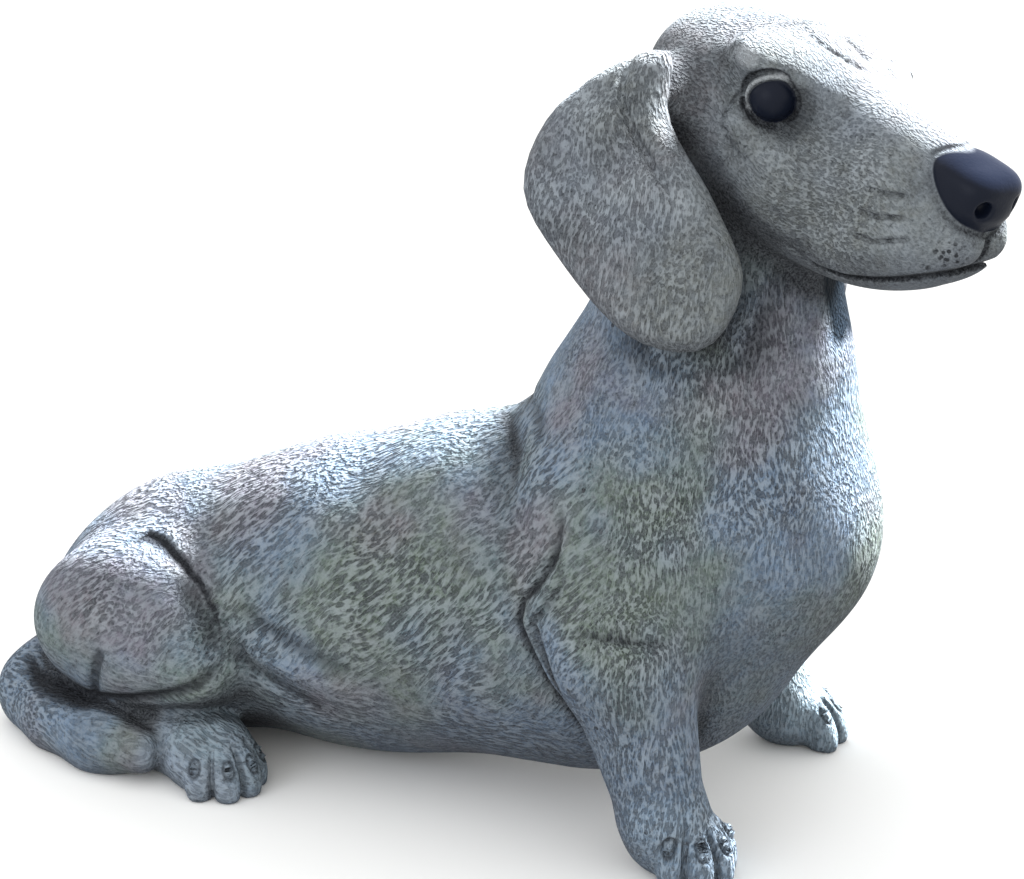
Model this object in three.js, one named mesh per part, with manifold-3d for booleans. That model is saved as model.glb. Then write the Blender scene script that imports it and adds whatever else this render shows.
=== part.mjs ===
// A seated dachshund, cast in one piece of garden stone and solid all through.
// Millimetres, +Z up, the floor at zero, the chest towards +X, the head turned to the dog's right (-Y).
// The body is one smooth field: each form gives the distance to its surface, less than zero inside it,
// and neighbouring forms melt together over a stated width.
import * as THREE from 'three';
import { MarchingCubes } from 'three/addons/objects/MarchingCubes.js';
import { SimplifyModifier } from 'three/addons/modifiers/SimplifyModifier.js';
import { mergeVertices } from 'three/addons/utils/BufferGeometryUtils.js';
import Module from 'manifold-3d';

// Driving sizes
const statueLength = 412;
const headTurn = -30;
const headNod = 18;
const eyeRadius = 7.8;
const farEyeAhead = 9;
const earThickness = 10;
const creaseWidth = 2.6;
const creaseDepth = 1.8;
const lineFade = 6;
const triangleBudget = 9600;
// Reaches of the field, which set no size: how near the skin a crease works, how far off a group is left as a
// ball, how far in from its edge a flap swells, and the steps round a flap's outline
const creaseReach = 16;
const skipReach = 30;
const swellReach = 14;
const outlineSteps = 44;
// The head's own origin, between the eyes. Ears and the top of the neck are placed from it.
const headPlace = [115, -9, 283];
// The far front foot stands a little ahead of the near one and further out
const stride = 12;
const spread = 6;

// Small maths
const clamp = (value, low, high) => Math.min(high, Math.max(low, value));
const smoothRise = (t) => THREE.MathUtils.smoothstep(t, 0, 1);
const mix = (from, to, t) => from + (to - from) * t;
const radians = (degrees) => degrees * Math.PI / 180;
const fromHead = (offset) => headPlace.map((value, axis) => value + offset[axis]);

// Two fields melted together over the width, and the deeper of two likewise
const melt = (a, b, width) => {
  const near = Math.max(width - Math.abs(a - b), 0) / width;
  return Math.min(a, b) - near * near * width / 4;
};
const cutAway = (a, b, width) => -melt(-a, b, width);

// Forms
const egg = ([cx, cy, cz], [rx, ry, rz]) => (x, y, z) => {
  const px = (x - cx) / rx, py = (y - cy) / ry, pz = (z - cz) / rz;
  const k0 = Math.sqrt(px * px + py * py + pz * pz);
  const qx = px / rx, qy = py / ry, qz = pz / rz;
  const k1 = Math.sqrt(qx * qx + qy * qy + qz * qz);
  return k1 < 1e-9 ? -Math.min(rx, ry, rz) : k0 * (k0 - 1) / k1;
};
// An egg with flatter sides and tighter corners
const blockEgg = ([cx, cy, cz], [rx, ry, rz], power) => (x, y, z) => {
  const px = Math.abs((x - cx) / rx), py = Math.abs((y - cy) / ry), pz = Math.abs((z - cz) / rz);
  const sum = px ** power + py ** power + pz ** power;
  return (sum ** (1 / power) - 1) * Math.min(rx, ry, rz);
};
// Two balls of different size with their common skin drawn tight
const limb = ([ax, ay, az], ra, [bx, by, bz], rb) => {
  const dx = bx - ax, dy = by - ay, dz = bz - az;
  const square = dx * dx + dy * dy + dz * dz, taper = ra - rb, side = square - taper * taper;
  return (x, y, z) => {
    const px = x - ax, py = y - ay, pz = z - az;
    const s = px * dx + py * dy + pz * dz, past = s - square;
    const qx = px * square - dx * s, qy = py * square - dy * s, qz = pz * square - dz * s;
    const off = qx * qx + qy * qy + qz * qz, bound = Math.sign(taper) * taper * taper * off;
    if (Math.sign(past) * side * past * past * square > bound) {
      return Math.sqrt(off + past * past * square) / square - rb;
    }
    if (Math.sign(s) * side * s * s * square < bound) return Math.sqrt(off + s * s * square) / square - ra;
    return (Math.sqrt(off * side / square) + s * taper) / square - ra;
  };
};
const narrowed = (share, form) => (x, y, z) => form(x, y / share, z) * share;
const joined = (width, ...forms) => (x, y, z) => {
  let d = forms[0](x, y, z);
  for (let i = 1; i < forms.length; i++) d = melt(d, forms[i](x, y, z), width);
  return d;
};
const rope = (width, ...knots) => joined(width, ...knots.slice(1).map(([point, radius], i) =>
  limb(knots[i][0], knots[i][1], point, radius)));
const bothSides = (form) => (x, y, z) => form(x, -Math.abs(y), z);
// A form drawn about its own origin, then turned (yaw, pitch, roll in degrees) and moved to a place
const placed = ([ox, oy, oz], [yaw, pitch, roll], form) => {
  const turn = new THREE.Euler(radians(roll), radians(pitch), radians(yaw), 'ZYX');
  const e = new THREE.Matrix4().makeRotationFromEuler(turn).elements;
  return (x, y, z) => {
    const px = x - ox, py = y - oy, pz = z - oz;
    return form(px * e[0] + py * e[1] + pz * e[2], px * e[4] + py * e[5] + pz * e[6],
      px * e[8] + py * e[9] + pz * e[10]);
  };
};
// Far from a group the distance to a ball round it is enough
const within = ([cx, cy, cz], radius, form) => (x, y, z) => {
  const far = Math.sqrt((x - cx) ** 2 + (y - cy) ** 2 + (z - cz) ** 2) - radius;
  return far > skipReach ? far : form(x, y, z);
};
// Soft channels pressed into a form. A line is drawn in one view: "xz" from the side, "xy" from above,
// "yz" from the front.
// It is pressed in where the third coordinate lies between from and to, and fades out at its ends.
const creased = (form, lines) => {
  const channels = lines.map(({ view, points, from, to, width = creaseWidth, depth = creaseDepth }) => {
    const lengths = points.slice(1).map(([a, b], i) => Math.hypot(a - points[i][0], b - points[i][1]));
    const total = lengths.reduce((sum, length) => sum + length, 0);
    const firsts = points.map((p) => p[0]), seconds = points.map((p) => p[1]);
    const box = [Math.min(...firsts), Math.max(...firsts), Math.min(...seconds), Math.max(...seconds)];
    return { view, points, from, to, width, depth, lengths, total, box };
  });
  return (x, y, z) => {
    const d = form(x, y, z);
    if (Math.abs(d) > creaseReach) return d;
    let pressed = 0;
    for (const { view, points, from, to, width, depth, lengths, total, box } of channels) {
      const third = view === 'xz' ? y : view === 'xy' ? z : x;
      const a = view === 'yz' ? y : x, b = view === 'xy' ? y : z, reach = 2.6 * width;
      if (third < from || third > to || a < box[0] - reach || a > box[1] + reach) continue;
      if (b < box[2] - reach || b > box[3] + reach) continue;
      let nearest = Infinity, at = 0, run = 0;
      for (let i = 0; i < lengths.length; i++) {
        const ex = points[i + 1][0] - points[i][0], ey = points[i + 1][1] - points[i][1];
        const t = clamp(((a - points[i][0]) * ex + (b - points[i][1]) * ey) / lengths[i] ** 2, 0, 1);
        const off = (a - points[i][0] - t * ex) ** 2 + (b - points[i][1] - t * ey) ** 2;
        if (off < nearest) {
          nearest = off;
          at = (run + t * lengths[i]) / total;
        }
        run += lengths[i];
      }
      const inSpan = clamp((third - from) / lineFade, 0, 1) * clamp((to - third) / lineFade, 0, 1);
      pressed = Math.max(pressed, depth * Math.exp(-nearest / width ** 2) * (1 - (2 * at - 1) ** 6) * inSpan);
    }
    return d + pressed;
  };
};
// A flap with a rounded edge: an outline in its own y (back) and z (down, so negative), thick in x
const flap = (outline, thickness, swell) => {
  const curve = new THREE.CatmullRomCurve3(outline.map(([v, u]) => new THREE.Vector3(v, u, 0)), true);
  const ring = curve.getSpacedPoints(outlineSteps).slice(0, outlineSteps);
  return (x, y, z) => {
    let square = Infinity, inside = false;
    for (let i = 0, j = ring.length - 1; i < ring.length; j = i++) {
      const ax = ring[j].x, ay = ring[j].y, ex = ring[i].x - ax, ey = ring[i].y - ay;
      const t = clamp(((y - ax) * ex + (z - ay) * ey) / (ex * ex + ey * ey), 0, 1);
      square = Math.min(square, (y - ax - t * ex) ** 2 + (z - ay - t * ey) ** 2);
      if ((ay > z) !== (ring[i].y > z) && y < ex * (z - ay) / ey + ax) inside = !inside;
    }
    const edge = (inside ? -1 : 1) * Math.sqrt(square);
    const half = thickness / 2;
    const side = Math.abs(x) - swell * (1 - Math.exp(Math.min(edge, 0) / swellReach));
    const outer = Math.hypot(Math.max(edge + half, 0), Math.max(side, 0));
    return Math.min(Math.max(edge + half, side), 0) + outer - half;
  };
};

// Trunk: a deep tube that falls from the withers to the rump, a full chest and a thick neck
const trunk = joined(22,
  narrowed(0.86, limb([26, 0, 77], 67, [-62, 0, 67], 59)),
  narrowed(0.86, limb([-62, 0, 67], 59, [-136, 0, 55], 52)),
  egg([-150, 0, 46], [57, 54, 42]),
  egg([79, 0, 116], [57, 50, 52]),
  egg([60, 0, 76], [49, 43, 49]),
  egg([-10, 0, 108], [45, 36, 38]),
  narrowed(0.9, limb([80, 0, 124], 50, [86, 0, 168], 38)));
const neck = narrowed(0.9, joined(16,
  limb([62, 0, 150], 55, [77, 0, 206], 38),
  limb([77, 0, 206], 38, fromHead([-31, 13, -27]), 35)));

// Front legs: shoulder, upper arm and elbow, then a short straight leg and a round paw with three clefts
const shoulder = joined(24,
  egg([56, -34, 120], [42, 24, 46]),
  limb([36, -48, 98], 13, [60, -46, 100], 25));
const foreLeg = joined(14,
  limb([36, -50, 96], 13, [58, -54, 84], 24),
  limb([60, -55, 84], 24, [75, -57, 26], 16));
// Toes are long ovals that lie side by side round the front of a paw. Headings are in degrees, with zero
// straight ahead.
const around = ([x, y, z], heading, reach) => {
  const turn = radians(heading);
  return [x + reach * Math.cos(turn), y + reach * Math.sin(turn), z];
};
const toes = (middle, headings, reaches, size) => joined(2, ...headings.map((heading, i) =>
  placed(around(middle, heading, reaches[i]), [heading, -16, 0], egg([0, 0, 0], size))));
const clefts = (middle, headings) => headings.slice(1).map((heading, i) => ({
  view: 'xy',
  points: [11, 18, 26].map((reach) => around(middle, (heading + headings[i]) / 2, reach).slice(0, 2)),
  from: -9,
  to: 38,
  width: 1.9,
  depth: 1.3,
}));
const foreMiddle = [84, -56, 9];
const foreHeadings = [-92, -49, -16, 20];
const hindMiddle = [-108, -57, 8];
const hindHeadings = [-92, -47, -14, 18];
const forePawCore = joined(8,
  egg([80, -56, 12], [17, 14.5, 14.5]),
  egg([76, -57, 22], [16, 16.5, 16]));
const foreToes = toes(foreMiddle, foreHeadings, [9, 12, 12.5, 11], [8.5, 6.6, 13.5]);
const forePaw = (x, y, z) => melt(forePawCore(x, y, z), foreToes(x, y, z), 3);

// Back legs: a round thigh low on the flank, the folded shin under it and a paw laid flat
const thigh = joined(16,
  placed([-150, -36, 56], [6, -10, 0], egg([0, 0, 0], [47, 27, 35])),
  limb([-150, -46, 40], 14, [-119, -48, 46], 17));
const hindPawCore = joined(8,
  limb([-136, -48, 12], 15, [-110, -56, 12], 14.5),
  egg([-111, -57, 11], [16, 15.5, 15]));
const hindToes = toes(hindMiddle, hindHeadings, [10.5, 12, 12.5, 11], [8.5, 6.8, 13]);
const hindPaw = (x, y, z) => melt(hindPawCore(x, y, z), hindToes(x, y, z), 3);

// Tail: it leaves the rump low down and lies along the floor on the dog's right
const tail = rope(16, [[-188, -8, 20], 25], [[-202, -30, 13], 16], [[-184, -46, 11], 12.5],
  [[-160, -57, 11], 12], [[-137, -66, 13], 9]);

// Head, drawn about the point between the eyes: x to the nose, y to the dog's left, z up
const headForm = joined(10,
  egg([-33, 0, -17.5], [41, 36, 30]),
  egg([-12, 0, -9], [29, 30, 27]),
  narrowed(0.82, limb([8, 0, -17], 30, [61, 0, -9], 20)),
  placed([36, 0, -35.5], [0, -17, 0], egg([0, 0, 0], [40, 27, 18])),
  egg([12, 0, -38], [24, 22, 15]),
  bothSides(egg([0, -20, -30], [34, 17, 20])),
  bothSides(egg([51, -9, -22.5], [26, 12, 13])));
const lip = bothSides(egg([68, -6, -16], [15, 9, 10]));
// Brow, socket and eye, with the far eye a little further forward
const atEyes = (form) => (x, y, z) => form(x - farEyeAhead * smoothRise((y - 2) / 10), -Math.abs(y), z);
const brow = atEyes(placed([-6, -21, 8], [24, 10, 0], egg([0, 0, 0], [17, 9, 6])));
const socket = atEyes(egg([6, -31, -1], [13, 9, 9]));
const eyeball = atEyes(egg([-2, -25, 0], [eyeRadius, eyeRadius, eyeRadius]));
// The nose pad ends behind at a slanting plane: its forward share, upward share and distance
const noseBack = [0.61, 0.79, 40];
const noseBlock = joined(4, blockEgg([70, 0, 0.5], [13, 13.5, 9], 3), egg([74, 0, -4], [8.5, 8, 8]));
const nose = (x, y, z) => cutAway(noseBlock(x, y, z), noseBack[0] * x + noseBack[1] * z - noseBack[2], 2.5);
const nostril = bothSides(placed([81.5, -7.5, -1], [-24, 0, 0], egg([0, 0, 0], [5, 2.6, 3.0])));
const face = (x, y, z) => {
  let d = melt(headForm(x, y, z), brow(x, y, z), 12);
  d = melt(d, lip(x, y, z), 4);
  d = cutAway(d, socket(x, y, z), 8);
  d = melt(d, eyeball(x, y, z), 1.5);
  d = melt(d, nose(x, y, z), 3);
  return cutAway(d, nostril(x, y, z), 2);
};
const mouth = [
  { view: 'xz', from: -40, to: 40, points: [[29, -43.5], [37, -44.5], [47, -42.5], [57, -38], [65, -33.5],
    [72, -29], [78, -25], [85, -20]] },
];
const head = placed(headPlace, [headTurn, headNod, 0], creased(face, mouth));

// Ears: broad leaves that hang from the back of the skull, the same outline on both sides
const leaf = [[-3, 2], [-4, -19], [-24, -49], [-36, -74], [-26, -97], [-2, -97], [29, -71], [44, -48],
  [37, -22], [13, -2]];
const ear = flap(leaf, earThickness, 7);
const earFold = [
  { view: 'yz', from: -20, to: 20, points: [[10, -2], [11, -10], [9, -20], [3, -30], [-6, -41]], depth: 2.4 },
];
const nearEar = placed(fromHead([-53, -22, 12]), [93, 20, 0], creased(ear, earFold));
const farEarMirrored = placed(fromHead([-24, -34, -7]), [106, 8, 14], creased(ear, earFold));
const farEar = (x, y, z) => farEarMirrored(x, -y, z);
const earRoots = joined(6,
  egg(fromHead([-61, -11, -6]), [16, 14, 13]),
  egg(fromHead([-23, 44, -7]), [16, 14, 15]));

// Folds where loose skin meets the legs, on both flanks
const folds = [
  [[37, 139], [36, 127], [35, 118], [29, 107], [23, 100], [21, 91], [26, 80], [36, 64], [46, 48]],
  [[46, 97], [54, 98], [64, 98], [72, 97], [82, 95]],
  [[-153, 90], [-145, 91.5], [-136, 90], [-126, 85.5], [-117, 79], [-110, 70], [-106, 58]],
  [[-207, 33], [-203, 29], [-195, 26], [-183, 25], [-168, 26], [-156, 30], [-144, 32], [-128, 37],
    [-116, 42], [-109, 47], [-104, 56]],
].flatMap((points) => [
  { view: 'xz', points, from: -90, to: -26, width: 3.4 },
  { view: 'xz', points, from: 26, to: 90, width: 3.4 },
]);
const foreLegAndPaw = (x, y, z) => melt(foreLeg(x, y, z), forePaw(x, y, z), 5);
const foreLimb = creased(foreLegAndPaw, clefts(foreMiddle, foreHeadings));
const foreLimbs = within([70, 0, 60], 120, (x, y, z) => {
  if (y < 0) return foreLimb(x, y, z);
  const low = clamp(1 - z / 100, 0, 1);
  return foreLimb(x - stride * low, -y + spread * low, z);
});
const shoulders = bothSides(shoulder);
const cleftHindPaw = creased(hindPaw, clefts(hindMiddle, hindHeadings));
const rearLimbs = bothSides((x, y, z) => melt(thigh(x, y, z), cleftHindPaw(x, y, z), 4));
const rear = within([-140, 0, 50], 120, (x, y, z) => melt(rearLimbs(x, y, z), tail(x, y, z), 3));
const top = within([110, -5, 255], 115, (x, y, z) => {
  let d = melt(head(x, y, z), earRoots(x, y, z), 12);
  d = melt(d, nearEar(x, y, z), 4);
  return melt(d, farEar(x, y, z), 4);
});
const skin = (x, y, z) => {
  let d = melt(trunk(x, y, z), neck(x, y, z), 24);
  d = melt(d, shoulders(x, y, z), 16);
  d = melt(d, foreLimbs(x, y, z), 9);
  d = melt(d, rear(x, y, z), 8);
  return melt(d, top(x, y, z), 9);
};
const statue = creased(skin, folds);

// A coarse scan finds how far the figure reaches each way
const scanReach = 480, scanStep = 8;
const low = [0, 0, 0], high = [0, 0, 0];
for (let z = -scanStep; z < scanReach; z += scanStep) {
  for (let y = -scanReach / 2; y < scanReach / 2; y += scanStep) {
    for (let x = -scanReach; x < scanReach; x += scanStep) {
      if (statue(x, y, z) > scanStep) continue;
      [x, y, z].forEach((value, axis) => {
        low[axis] = Math.min(low[axis], value - 1.5 * scanStep);
        high[axis] = Math.max(high[axis], value + 1.5 * scanStep);
      });
    }
  }
}

// The field on a lattice that fits it and is finer towards the head. Along each row, points that are well
// clear of the surface take the value before them.
const cells = 128;
const crowd = 0.25;
const stepShare = 0.6;
const roomForTriangles = 160000;
const spaced = [0, 1, 2].map((axis) => (i) => {
  const t = i / cells;
  return mix(low[axis], high[axis], axis === 0 ? t + crowd * t * (1 - t) : t);
});
const widest = (high[0] - low[0]) * (1 + crowd) / cells;
const cubes = new MarchingCubes(cells, undefined, false, false, roomForTriangles);
cubes.isolation = 0;
for (let k = 0; k < cells; k++) for (let j = 0; j < cells; j++) {
  let value = 0, clearUntil = 0;
  for (let i = 0; i < cells; i++) {
    if (i >= clearUntil) {
      value = statue(spaced[0](i), spaced[1](j), spaced[2](k));
      clearUntil = i + Math.max(1, Math.floor(stepShare * Math.abs(value) / widest));
    }
    cubes.field[i + j * cells + k * cells * cells] = -value;
  }
}
cubes.update();

// Its surface in millimetres, closed and thinned out to a few thousand triangles
const count = cubes.count;
const positions = new Float32Array(count * 3);
for (let i = 0; i < count; i++) for (let axis = 0; axis < 3; axis++) {
  const lattice = (cubes.positionArray[i * 3 + axis] + 1) * cells / 2;
  positions[i * 3 + axis] = spaced[axis](lattice);
}
const rough = new THREE.BufferGeometry();
rough.setAttribute('position', new THREE.BufferAttribute(positions, 3));
const closed = mergeVertices(rough, 1e-5);
const spare = closed.getAttribute('position').count - triangleBudget / 2;
const thinned = await new SimplifyModifier().modify(closed, Math.round(spare));

// The underside is cut flat, so that it stands on its feet, tail and seat
const { Manifold, Mesh } = await Module().then((wasm) => {
  wasm.setup();
  return wasm;
});
const solidOf = (geometry) => {
  const merged = mergeVertices(geometry, 1e-5);
  return new Manifold(new Mesh({
    numProp: 3,
    vertProperties: new Float32Array(merged.getAttribute('position').array),
    triVerts: new Uint32Array(merged.index.array),
  }));
};
const floorBlock = new THREE.BoxGeometry(2 * scanReach, 2 * scanReach, scanReach);
floorBlock.deleteAttribute('normal');
floorBlock.deleteAttribute('uv');
floorBlock.translate(0, 0, -scanReach / 2);
const solid = solidOf(thinned).subtract(solidOf(floorBlock));
const cut = solid.getMesh();

const geometry = new THREE.BufferGeometry();
geometry.setAttribute('position', new THREE.BufferAttribute(new Float32Array(cut.vertProperties), 3));
geometry.setIndex(new THREE.BufferAttribute(new Uint32Array(cut.triVerts), 1));
geometry.computeBoundingBox();
const size = geometry.boundingBox.getSize(new THREE.Vector3());
const centre = geometry.boundingBox.getCenter(new THREE.Vector3());
geometry.translate(-centre.x, -centre.y, -geometry.boundingBox.min.z);
geometry.scale(statueLength / size.x, statueLength / size.x, statueLength / size.x);
geometry.computeVertexNormals();

// Grey cast stone, matt and faintly blue
const castStone = new THREE.MeshStandardMaterial({ color: '#77828b', roughness: 0.85, metalness: 0 });
const dachshund = new THREE.Mesh(geometry, castStone);
dachshund.name = 'dachshund';
const statueGroup = new THREE.Group();
statueGroup.name = 'dog_statue';
statueGroup.add(dachshund);
export default statueGroup;
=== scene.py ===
# A seated dachshund cast in garden stone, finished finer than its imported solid: lids, nose, lips, claws,
# folds of skin and short combed fur. One piece stands for the one cast body.
import math

import bmesh
import bpy
import numpy as np
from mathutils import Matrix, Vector


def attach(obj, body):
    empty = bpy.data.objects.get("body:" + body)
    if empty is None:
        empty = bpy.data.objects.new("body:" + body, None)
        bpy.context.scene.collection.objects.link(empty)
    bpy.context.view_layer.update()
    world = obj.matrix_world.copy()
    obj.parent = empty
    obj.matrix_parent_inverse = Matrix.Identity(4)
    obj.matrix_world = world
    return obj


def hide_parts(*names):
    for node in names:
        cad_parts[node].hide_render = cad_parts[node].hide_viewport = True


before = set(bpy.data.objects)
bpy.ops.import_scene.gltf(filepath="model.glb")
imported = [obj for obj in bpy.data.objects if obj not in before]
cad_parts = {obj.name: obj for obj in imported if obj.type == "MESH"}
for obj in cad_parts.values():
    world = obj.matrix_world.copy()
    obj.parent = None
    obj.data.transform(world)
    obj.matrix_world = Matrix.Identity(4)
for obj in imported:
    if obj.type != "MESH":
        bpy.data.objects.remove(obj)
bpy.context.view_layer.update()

# Sizes in millimetres, in the frame that the dog was drawn in. The solid's own frame is this one moved and
# scaled.
drawing_middle = np.array([-17.240, 0.517, 0.0])
drawing_scale = 412 / 409.310
head_place = (115, -9, 283)
head_turn = (-30, 18, 0)
eye_place = (-2, -25, 0)
eye_radius = 7.8
far_eye_ahead = 9
eyelid_thickness = 1.6
ear_thickness = 10
ear_swell = 7

# The far foreleg stands a little back and out, by this much at the floor and by nothing at the elbow
stride = 12
spread = 6
elbow_height = 100

# How far a channel fades in at the sides of its span and, in widths of its own, how far it reaches
line_fade = 6
channel_reach = 2.6
channel_end_power = 6

# How near the skin a crease works, and how far off a group or a leaf is left as a ball or a box
crease_reach = 16
group_reach = 30
flap_reach = 14
flap_outline_steps = 44

# How far in from its edge a leaf swells
swell_reach = 14

# The fine mesh: its step, how far one round may move a point, and the limit on triangles
body_mesh_step = 1.7
most_move = 1.6
least_steepness = 0.25
most_triangles = 192000


# Small maths on arrays of points
def melt(a, b, width):
    near = np.maximum(width - np.abs(a - b), 0) / width
    return np.minimum(a, b) - near * near * width / 4


def cut_away(a, b, width):
    return -melt(-a, b, width)


def ramp(value, low, high):
    t = np.clip((value - low) / (high - low), 0, 1)
    return t * t * (3 - 2 * t)


def band(value, middle, half_width):
    """One in the middle of a band, falling off to both sides."""
    return np.exp(-((value - middle) / half_width) ** 2)


# Forms: each gives the distance of points to its surface, less than zero inside
def egg(centre, radii):
    centre, radii = np.array(centre, float), np.array(radii, float)

    def form(p):
        q = (p - centre) / radii
        k0 = np.sqrt((q * q).sum(1))
        k1 = np.sqrt(((q / radii) ** 2).sum(1))
        return k0 * (k0 - 1) / np.maximum(k1, 1e-9)
    return form


def block_egg(centre, radii, power):
    """An egg with flatter sides and tighter corners."""
    centre, radii = np.array(centre, float), np.array(radii, float)

    def form(p):
        q = np.abs((p - centre) / radii)
        return ((q ** power).sum(1) ** (1 / power) - 1) * radii.min()
    return form


def limb(start, start_radius, end, end_radius):
    """Two balls of different size with their common skin drawn tight."""
    start = np.array(start, float)
    along = np.array(end, float) - start
    square = along @ along
    taper = start_radius - end_radius
    side = square - taper * taper

    def form(p):
        p = p - start
        s = p @ along
        past = s - square
        q = p * square - s[:, None] * along
        off = (q * q).sum(1)
        bound = np.sign(taper) * taper * taper * off
        d = (np.sqrt(off * side / square) + s * taper) / square - start_radius
        at_start = np.sign(s) * side * s * s * square < bound
        at_end = np.sign(past) * side * past * past * square > bound
        d = np.where(at_start, np.sqrt(off + s * s * square) / square - start_radius, d)
        return np.where(at_end, np.sqrt(off + past * past * square) / square - end_radius, d)
    return form


def narrowed(share, form):
    return lambda p: form(p * (1, 1 / share, 1)) * share


def joined(width, *forms):
    def form(p):
        d = forms[0](p)
        for other in forms[1:]:
            d = melt(d, other(p), width)
        return d
    return form


def rope(width, *knots):
    return joined(width, *[limb(*knots[i], *knots[i + 1]) for i in range(len(knots) - 1)])


def right_side(p):
    return np.column_stack([p[:, 0], -np.abs(p[:, 1]), p[:, 2]])


def both_sides(form):
    return lambda p: form(right_side(p))


def turned_axes(turn):
    yaw, pitch, roll = (math.radians(angle) for angle in turn)
    about_z = np.array([[math.cos(yaw), -math.sin(yaw), 0], [math.sin(yaw), math.cos(yaw), 0], [0, 0, 1]])
    about_y = np.array([
        [math.cos(pitch), 0, math.sin(pitch)], [0, 1, 0], [-math.sin(pitch), 0, math.cos(pitch)]])
    about_x = np.array([[1, 0, 0], [0, math.cos(roll), -math.sin(roll)], [0, math.sin(roll), math.cos(roll)]])
    return about_z @ about_y @ about_x


def placed(origin, turn, form):
    axes = turned_axes(turn)
    return lambda p: form((p - origin) @ axes)


def within(centre, radius, form):
    """Far from a group the distance to a ball round it is enough."""
    def bounded(p):
        d = np.linalg.norm(p - centre, axis=1) - radius
        near = d <= group_reach
        if near.any():
            d[near] = form(p[near])
        return d
    return bounded


views = {"xz": (0, 2, 1), "xy": (0, 1, 2), "yz": (1, 2, 0)}


def line(view, points, span, width, depth):
    """A channel drawn in one view and pressed in where the third coordinate is in the span. A ridge has a
    depth less than zero."""
    return view, np.array(points, float), span, width, depth


def line_press(p, lines):
    """How deep the channels go at each point, less the height of the ridges."""
    deepest, highest = np.zeros(len(p)), np.zeros(len(p))
    for view, points, (low, high), width, depth in lines:
        first, second, third = views[view]
        reach = channel_reach * width
        flat = p[:, (first, second)]
        near = (p[:, third] > low) & (p[:, third] < high)
        near &= (flat > points.min(0) - reach).all(1) & (flat < points.max(0) + reach).all(1)
        if not near.any():
            continue
        flat = flat[near]
        steps = np.diff(points, axis=0)
        lengths = np.linalg.norm(steps, axis=1)
        nearest, at, run = np.full(len(flat), np.inf), np.zeros(len(flat)), 0.0
        for begin, step, length in zip(points, steps, lengths):
            t = np.clip((flat - begin) @ step / length ** 2, 0, 1)
            off = ((flat - begin - t[:, None] * step) ** 2).sum(1)
            closer = off < nearest
            nearest = np.where(closer, off, nearest)
            at = np.where(closer, (run + t * length) / lengths.sum(), at)
            run += length
        pressed = abs(depth) * np.exp(-nearest / width ** 2) * (1 - (2 * at - 1) ** channel_end_power)
        beyond = p[near, third]
        pressed *= ramp(beyond, low, low + line_fade) * ramp(beyond, high, high - line_fade)
        target = deepest if depth > 0 else highest
        target[near] = np.maximum(target[near], pressed)
    return deepest - highest


def creased(form, lines):
    def carved(p):
        d = form(p)
        near = np.abs(d) < crease_reach
        if near.any():
            d[near] += line_press(p[near], lines)
        return d
    return carved


def groove_round(d, other, offset, width, depth):
    """A groove that follows the outline of another form, at an offset from it."""
    return d + depth * band(other, offset, width)


def smooth_outline(points, count):
    """A closed curve through the points, cut into steps of equal length."""
    points = np.array(points, float)
    size = len(points)
    curve = []
    for i in range(size):
        p0, p1, p2, p3 = (points[(i + k) % size] for k in (-1, 0, 1, 2))
        g0, g1, g2 = (math.sqrt(np.linalg.norm(b - a)) for a, b in ((p0, p1), (p1, p2), (p2, p3)))
        leave = ((p1 - p0) / g0 - (p2 - p0) / (g0 + g1) + (p2 - p1) / g1) * g1
        arrive = ((p2 - p1) / g1 - (p3 - p1) / (g1 + g2) + (p3 - p2) / g2) * g1
        for t in np.linspace(0, 1, 20, endpoint=False):
            curve.append(p1 + leave * t + (3 * (p2 - p1) - 2 * leave - arrive) * t ** 2
                         + (2 * (p1 - p2) + leave + arrive) * t ** 3)
    curve = np.array(curve + [points[0]])
    run = np.concatenate([[0], np.cumsum(np.linalg.norm(np.diff(curve, axis=0), axis=1))])
    at = np.linspace(0, run[-1], count, endpoint=False)
    return np.column_stack([np.interp(at, run, curve[:, axis]) for axis in (0, 1)])


def flap(outline, thickness, swell):
    """A leaf with a rounded edge: an outline in its own y and z, thick in x."""
    ring = smooth_outline(outline, flap_outline_steps)
    box_middle = np.array([0, *(ring.max(0) + ring.min(0)) / 2])
    box_half = np.array([thickness / 2 + swell, *(ring.max(0) - ring.min(0)) / 2])

    def bounded(p):
        d = np.linalg.norm(np.maximum(np.abs(p - box_middle) - box_half, 0), axis=1)
        near = d < flap_reach
        if near.any():
            d[near] = form(p[near])
        return d

    def form(p):
        flat = p[:, 1:]
        square, inside = np.full(len(p), np.inf), np.zeros(len(p), bool)
        for a, b in zip(np.roll(ring, 1, axis=0), ring):
            step = b - a
            t = np.clip((flat - a) @ step / (step @ step), 0, 1)
            square = np.minimum(square, ((flat - a - t[:, None] * step) ** 2).sum(1))
            if a[1] != b[1]:
                crossed = (a[1] > flat[:, 1]) != (b[1] > flat[:, 1])
                inside ^= crossed & (flat[:, 0] < step[0] * (flat[:, 1] - a[1]) / step[1] + a[0])
        edge = np.where(inside, -1, 1) * np.sqrt(square)
        half = thickness / 2
        side = np.abs(p[:, 0]) - swell * (1 - np.exp(np.minimum(edge, 0) / swell_reach))
        outer = np.hypot(np.maximum(edge + half, 0), np.maximum(side, 0))
        return np.minimum(np.maximum(edge + half, side), 0) + outer - half
    return bounded


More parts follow.
